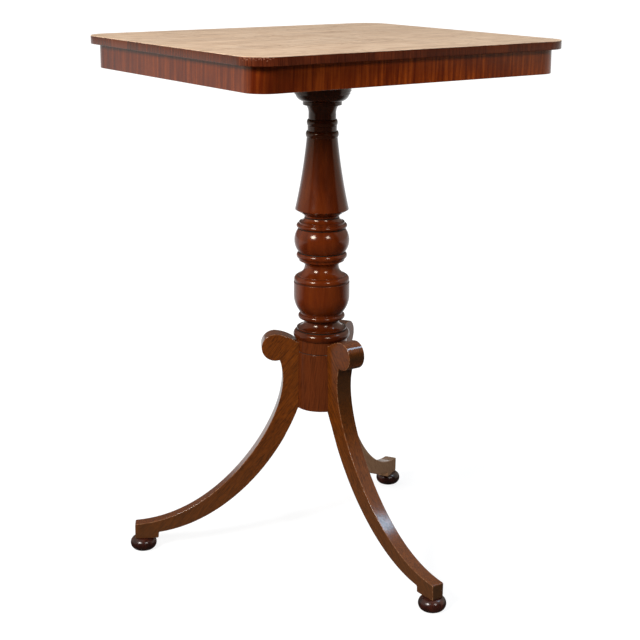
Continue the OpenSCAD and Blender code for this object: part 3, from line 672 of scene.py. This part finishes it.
def makePillar():
    turning = {
        "around": 160, "ease": 0.35, "axis": 0.01, "grooveReach": 2.4, "grooveDepth": 0.8,
        "braceStands": 0.4,  # the iron plate stands this far proud of the drum's underside
        # what the lathe leaves, from the drum's underside up: height, radius below, radius above, swell
        "drum": [(81.3, 35.2, 35.2, 0), (0.7, 35.2, 34.3, 0), (0.7, 34.3, 35.2, 0), (17.3, 35.2, 35.2, 0)],
        "base": [(11, 37, 35.2, 2.9), (1.4, 33.4, 33.4, 0), (2, 34.3, 34.3, 0), (8.2, 32, 24, -1.7),
                 (4.4, 24, 24.8, 0), (7, 29.7, 29.7, 2.7), (2.8, 29.1, 29.1, 0)],
        "vase": [(23, 30, 38.5, uprightSwell(23, 8.5)), (18.8, 38.5, 38.5, 0), (1.4, 37.6, 37.6, 0),
                 (7.8, 37.6, 34.8, 1.7), (1.4, 33, 33, 0), (14, 33, 23.4, -2.9), (3.6, 23.4, 26.2, 0),
                 (2.2, 26.2, 31.2, 0), (2.2, 31.2, 31.2, 0)],
        "ball": [(1.4, 31.9, 31.9, 0), (7.6, 32.8, 32.8, 2), (1.4, 31.5, 31.5, 0), (32, 32.4, 32.4, 5.4),
                 (1.4, 31.5, 31.5, 0), (5.6, 32.8, 32.8, 2), (2.8, 31.2, 31.2, 0), (5.4, 29.8, 24, -1.2),
                 (1.4, 23.1, 23.1, 0), (2.3, 24, 24, 0), (7.8, 24, 36.6, 0), (1, 36.6, 36.6, 0)],
        "shaftHollow": 1.5, "shaftTop": 21, "shaftFoot": 36.6, "shaftSteps": 24,
        "capital": [(8.9, 20.9, 20.9, 1.5), (7, 19.8, 19.8, 0), (8.8, 19.5, 19.5, 1.5), (6.4, 18.7, 18.7, 0),
                    (13, 18.7, 22.3, -1.3), (5, 26.4, 26.4, 0), (9.6, 27, 36.6, 1.9), (3.6, 37.6, 37.6, 0),
                    (32, 39, 39, 0)],
    }
    foot, top = pillarLow[2], bearerLow[2]

    def outline(members, z):
        made = []
        for h, below, above, swell in members:
            made += arc((below, z), (above, z + h), swell)
            z += h
        return made, z
    lower, shaftFootZ = outline(turning["drum"] + turning["base"] + turning["vase"] + turning["ball"], foot)
    lower[0] = Vector((lower[0].x, foot + turning["braceStands"]))
    shaftTopZ = top - sum(member[0] for member in turning["capital"])
    upper, end = outline(turning["capital"], shaftTopZ)
    shaft = arc((turning["shaftFoot"], shaftFootZ), (turning["shaftTop"], shaftTopZ),
                -turning["shaftHollow"], turning["shaftSteps"])
    whole = [(turning["axis"], lower[0].y)] + lower + shaft + upper + [(turning["axis"], end)]
    profile = softened(whole, turning["ease"])
    place = Matrix.Translation((0, pillarY * mm, 0))
    piece = lathe("turnedPillar", [(p.x, p.y) for p in profile], turning["around"], pillarWood,
                  ["pillar"], place)
    # a groove is where the profile lies inside what stands just above and just below it
    reach, sunk = turning["grooveReach"], []
    for p in profile:
        above = max(q.x for q in profile if 0 <= q.y - p.y <= reach)
        below = max(q.x for q in profile if 0 <= p.y - q.y <= reach)
        share = max(0, min(above, below) - p.x) / turning["grooveDepth"]
        sunk += [min(1, share)] * turning["around"]
    # the material darkens these grooves with dirt and painted shade
    keepShare(piece, "grooves", sunk)
    print("pillar turned:", len(profile), "points")


def legOutline():
    leg = {
        "drum": 35.2, "drumFoot": 208, "inside": 28,
        "scroll": (64.8, 295.9), "scrollR": 19.1, "throatAngle": 18,
        "waist": (54.6, 252), "shoulder": 303.4, "shoulderSwell": 2.4,
        "bellyTop": 32.7, "toe": (264.3, 38.7), "heel": (231.3, 26), "blockFoot": 17.5,
        "braceShare": 0.18, "braceStands": 0.35,
        "backHandles": [(0, 1), (0, 0.737), (0.211, 0.406), (0.516, 0.027), (1, 0)],
        "bellyHandles": [(0, 1), (0.155, 0.535), (0.54, 0.065), (1, 0)],
    }

    def curve(start, end, handles, steps=40):
        # handles are shares of the way across and of the way up
        across, up = end.x - start.x, start.y - end.y
        ways = [Vector((start.x + across * s, end.y + up * t)) for s, t in handles]
        return [bezier(ways, i / steps) for i in range(steps + 1)]
    scroll, waist = Vector(leg["scroll"]), Vector(leg["waist"])
    toe, heel = Vector(leg["toe"]), Vector(leg["heel"])
    belly = curve(Vector((leg["bellyTop"], leg["drumFoot"])), heel, leg["bellyHandles"])
    # the iron arm stands a hair proud of the wood it is let into
    braced = round(leg["braceShare"] * (len(belly) - 1))
    ways = [(belly[i + 1] - belly[i]).normalized() for i in range(braced)]
    for i, way in enumerate(ways):
        belly[i] = belly[i] + leg["braceStands"] * Vector((-way.y, way.x))
    back = curve(waist, toe, leg["backHandles"])
    back.reverse()
    turn = math.radians(leg["throatAngle"])
    throat = scroll - leg["scrollR"] * Vector((math.sin(turn), math.cos(turn)))
    hollow = arc(waist, throat, -uprightSwell(throat.y - waist.y, throat.x - waist.x))
    start, end, steps = -90 - leg["throatAngle"], 90, 40
    turns = [math.radians(start + (end - start) * i / steps) for i in range(steps + 1)]
    curl = [scroll + leg["scrollR"] * Vector((math.cos(a), math.sin(a))) for a in turns]
    crown = scroll + Vector((0, leg["scrollR"]))
    shoulder = arc(crown, (leg["drum"], leg["shoulder"]), leg["shoulderSwell"])
    block = [Vector((heel.x, leg["blockFoot"])), Vector((toe.x, leg["blockFoot"]))]
    inside = [Vector((leg["inside"], leg["shoulder"])), Vector((leg["inside"], leg["drumFoot"]))]
    return belly + block + back + hollow + curl + shoulder + inside


def onLegLine(side):
    return (Matrix.Translation((0, pillarY * mm, 0))
            @ Matrix.Rotation(math.radians(legTurns[side]), 4, "Z"))


def sawnLeg(side):
    leg = {
        "ease": 0.9, "corner": 2.2, "cornerSteps": 5, "mitre": 0.5,
        "thickTop": 26, "thickFoot": 17.4, "topZ": 315, "footZ": 17.5,
        # two legs are paler on their lower halves, one much more than the other
        "faded": {"back_right": 0.95, "front": 0.04}, "fadeFrom": 200, "fadeOver": 120,
    }
    outline = softened(legOutline(), leg["corner"], closed=True, steps=leg["cornerSteps"])
    count = len(outline)
    inward = []
    for i, p in enumerate(outline):
        before, after = (p - outline[i - 1]).normalized(), (outline[(i + 1) % count] - p).normalized()
        a, b = Vector((-before.y, before.x)), Vector((-after.y, after.x))
        middle = (a + b).normalized()
        inward.append(middle / max(leg["mitre"], middle.dot(a)))
    arris = roundedArris(leg["ease"])
    rings = [(i, o, r, 1) for i, o, r in reversed(arris)] + [(i, o, r, -1) for i, o, r in arris]
    points, rubbed = [], []
    for inset, back, rub, sign in rings:
        for p, n in zip(outline, inward):
            q = p + n * inset
            rise = (q.y - leg["footZ"]) / (leg["topZ"] - leg["footZ"])
            thick = leg["thickFoot"] + (leg["thickTop"] - leg["thickFoot"]) * rise
            points.append((q.x, sign * (thick / 2 - back), q.y))
            rubbed.append(rub)
    piece = addPiece("sabreLeg_" + side, points, skin(len(rings), count), legWood,
                     ["leg_" + side], onLegLine(side))
    keepShare(piece, "rubbed", rubbed)
    share = leg["faded"].get(side, 0)
    keepShare(piece, "faded",
              [share * min(1, max(0, (leg["fadeFrom"] - z) / leg["fadeOver"])) for x, y, z in points])


def makeBun(side):
    bun = {"reach": 253, "flat": 12.6, "height": 17.5, "swell": 5.8, "swellSteps": 20, "ease": 0.5,
           "around": 96, "axis": 0.01}
    cheek = arc((bun["flat"], 0), (bun["flat"], bun["height"]), bun["swell"], bun["swellSteps"])
    profile = softened([(bun["axis"], 0)] + cheek + [(bun["axis"], bun["height"])], bun["ease"])
    lathe("bun_" + side, [(p.x, p.y) for p in profile], bun["around"], bunWood,
          ["bun_foot_" + side], onLegLine(side) @ Matrix.Translation((bun["reach"] * mm, 0, 0)))


def dressCarcass():
    # the pieces behind and under the show wood keep their solids
    woods = ("top_board", "bearer", "pillar_wedge", "rail_", "corner_block_", "glue_block_")
    for name, piece in nodes.items():
        if name in ("brace_screws", "bearer_screws"):
            material = screwIron
        elif name == "brace_plate":
            material = braceIron
        elif name.startswith(woods):
            material = dealWood
        else:
            continue
        if not piece.material_slots:
            piece.data.materials.append(material)
        for slot in piece.material_slots:
            slot.material = material


makeTopVeneer()
makeEdgeStrips()
makeFacings()
print("top and apron laid")
makePillar()
for side in legTurns:
    sawnLeg(side)
    makeBun(side)
print("legs and feet made")
dressCarcass()
print("carcass dressed")


# Studio

def blended(tree, amount, a, b):
    node = tree.nodes.new("ShaderNodeMixShader")
    for socket, value in zip(node.inputs, (amount, a, b)):
        tree.links.new(value, socket)
    return node.outputs[0]


def seenStraight(tree, path):
    # the rays that see the background as it is
    return sums(tree, "MAXIMUM", path["Is Camera Ray"], path["Is Transmission Ray"])


def makeFloor():
    floor = {
        "size": 60, "paper": [(0.27, 0.27, 0.27, 1), (0.28, 0.28, 0.28, 1)],
        "specks": {"size": (300, 300, 300), "detail": 2, "wobble": 0}, "places": (0.3, 0.7),
        "roughness": 0.9, "specular": 0.1,
        # how white it looks near the table and far off, and from where to where, in metres
        "white": (0.82, 1.0), "whiteOut": (0.35, 1.3),
        # gloss shows it warm and dim on the near side, and white beyond the table
        "inGloss": 0.08, "warm": (0.9, 0.8, 0.7, 1), "widening": 0.45, "whiteFrom": (0.55, 1.3),
    }
    s = floor["size"] / 2
    mesh = bpy.data.meshes.new("studioFloor")
    mesh.from_pydata([(-s, -s, 0), (s, -s, 0), (s, s, 0), (-s, s, 0)], [], [(0, 1, 2, 3)])
    material, tree, shader = shaderOf("paperFloor", floor["specular"])
    shader.inputs["Roughness"].default_value = floor["roughness"]
    place = placeOf(tree)
    paper = ramp(tree, grain(tree, place, **floor["specks"]), floor["places"], floor["paper"])
    tree.links.new(paper, shader.inputs["Base Color"])
    length = tree.nodes.new("ShaderNodeVectorMath")
    length.operation = "LENGTH"
    tree.links.new(place, length.inputs[0])
    far = length.outputs["Value"]
    light = tree.nodes.new("ShaderNodeEmission")
    tree.links.new(level(tree, far, *floor["whiteOut"], floor["white"]), light.inputs["Strength"])
    both = tree.nodes.new("ShaderNodeAddShader")
    tree.links.new(shader.outputs[0], both.inputs[0])
    tree.links.new(light.outputs[0], both.inputs[1])
    where = partsOf(tree, place)
    away = sums(tree, "ADD", sums(tree, "MULTIPLY", where["X"], farWay[0]),
                sums(tree, "MULTIPLY", where["Y"], farWay[1]))
    away = sums(tree, "ADD", away, sums(tree, "MULTIPLY", far, floor["widening"]))
    dim = tree.nodes.new("ShaderNodeEmission")
    dim.inputs["Color"].default_value = floor["warm"]
    dim.inputs["Strength"].default_value = floor["inGloss"]
    inGloss = blended(tree, level(tree, away, *floor["whiteFrom"]), dim.outputs[0], light.outputs[0])
    path = tree.nodes.new("ShaderNodeLightPath").outputs
    unseen = blended(tree, path["Is Glossy Ray"], shader.outputs[0], inGloss)
    whole = blended(tree, seenStraight(tree, path), unseen, both.outputs[0])
    tree.links.new(whole, tree.nodes["Material Output"].inputs["Surface"])
    mesh.materials.append(material)
    piece = bpy.data.objects.new("studioFloor", mesh)
    bpy.context.scene.collection.objects.link(piece)


def makeWorld():
    surround = {
        "light": (0.16, 0.52),  # what lights the table, from the near side and from the far side
        # what gloss shows: dim on the near side, warm walls at the sides, and a dimmer far end
        "near": 0.015, "sides": 0.72, "farEnd": 0.2, "tint": (1, 0.91, 0.8, 1),
        "sidesFrom": (-0.41, -0.28), "farEndFrom": (0.5, 0.9), "white": (1, 1, 1, 1),
    }
    world = bpy.data.worlds.new("studio")
    bpy.context.scene.world = world
    world.use_nodes = True
    tree = world.node_tree

    def wall(tint, strength):
        node = tree.nodes.new("ShaderNodeBackground")
        node.inputs["Color"].default_value = tint
        node.inputs["Strength"].default_value = strength
        return node.outputs[0]
    way = tree.nodes.new("ShaderNodeVectorMath")
    way.operation = "DOT_PRODUCT"
    way.inputs[1].default_value = farWay
    tree.links.new(placeOf(tree, "Generated"), way.inputs[0])
    away = way.outputs["Value"]
    fill = tree.nodes["Background"]
    fill.inputs["Color"].default_value = surround["white"]
    tree.links.new(level(tree, away, *surround["sidesFrom"], surround["light"]), fill.inputs["Strength"])
    sides = blended(tree, level(tree, away, *surround["sidesFrom"]),
                    wall(surround["white"], surround["near"]), wall(surround["tint"], surround["sides"]))
    inGloss = blended(tree, level(tree, away, *surround["farEndFrom"]), sides,
                      wall(surround["tint"], surround["farEnd"]))
    path = tree.nodes.new("ShaderNodeLightPath").outputs
    unseen = blended(tree, path["Is Glossy Ray"], fill.outputs[0], inGloss)
    whole = blended(tree, seenStraight(tree, path), unseen, wall(surround["white"], 1))
    tree.links.new(whole, tree.nodes["World Output"].inputs["Surface"])


def makeLamps():
    aim, distance = Vector((0, pillarY * mm, 0.4)), 2.6  # what they point at and how far off, in metres
    lamps = {
        # the way each lamp stands and its height in degrees, its width in metres, its power and its colour
        "left": {"azimuth": -75, "height": 30, "size": 0.78, "power": 64, "tint": (1, 0.98, 0.95)},
        "front": {"azimuth": -6, "height": 32, "size": 0.58, "power": 20, "tint": (1, 0.98, 0.95)},
        "window": {"azimuth": 61, "height": 50, "size": 0.42, "power": 10, "tint": (0.5, 0.76, 1)},
    }
    for name, lamp in lamps.items():
        data = bpy.data.lights.new(name + "Lamp", "AREA")
        data.shape = "SQUARE" if name == "window" else "DISK"
        data.size = lamp["size"]
        data.energy = lamp["power"]
        data.color = lamp["tint"]
        piece = bpy.data.objects.new(name + "Lamp", data)
        a, e = math.radians(lamp["azimuth"]), math.radians(lamp["height"])
        way = Vector((math.sin(a) * math.cos(e), -math.cos(a) * math.cos(e), math.sin(e)))
        piece.location = aim + way * distance
        piece.rotation_euler = way.to_track_quat("Z", "Y").to_euler()
        bpy.context.scene.collection.objects.link(piece)


def makeCamera():
    view = {
        # from the pillar's foot, in millimetres, and the way it looks, in degrees
        "x": -1090.9, "y": -1559.1, "z": 857.7, "turn": 34.86, "tilt": 13.15, "roll": -0.21,
        "lens": 79.9, "film": 36, "shiftY": -0.09, "farthest": 200,
    }
    data = bpy.data.cameras.new("photoCamera")
    data.lens = view["lens"]
    data.sensor_width = view["film"]
    data.shift_y = view["shiftY"]
    data.clip_end = view["farthest"]
    camera = bpy.data.objects.new("photoCamera", data)
    camera.location = (view["x"] * mm, (view["y"] + pillarY) * mm, view["z"] * mm)
    turns = (90 - view["tilt"], view["roll"], -view["turn"])
    camera.rotation_euler = [math.radians(a) for a in turns]
    bpy.context.scene.collection.objects.link(camera)
    bpy.context.scene.camera = camera


makeFloor()
makeWorld()
makeLamps()
makeCamera()
bpy.context.scene.view_settings.view_transform = "Standard"
print("studio lit")
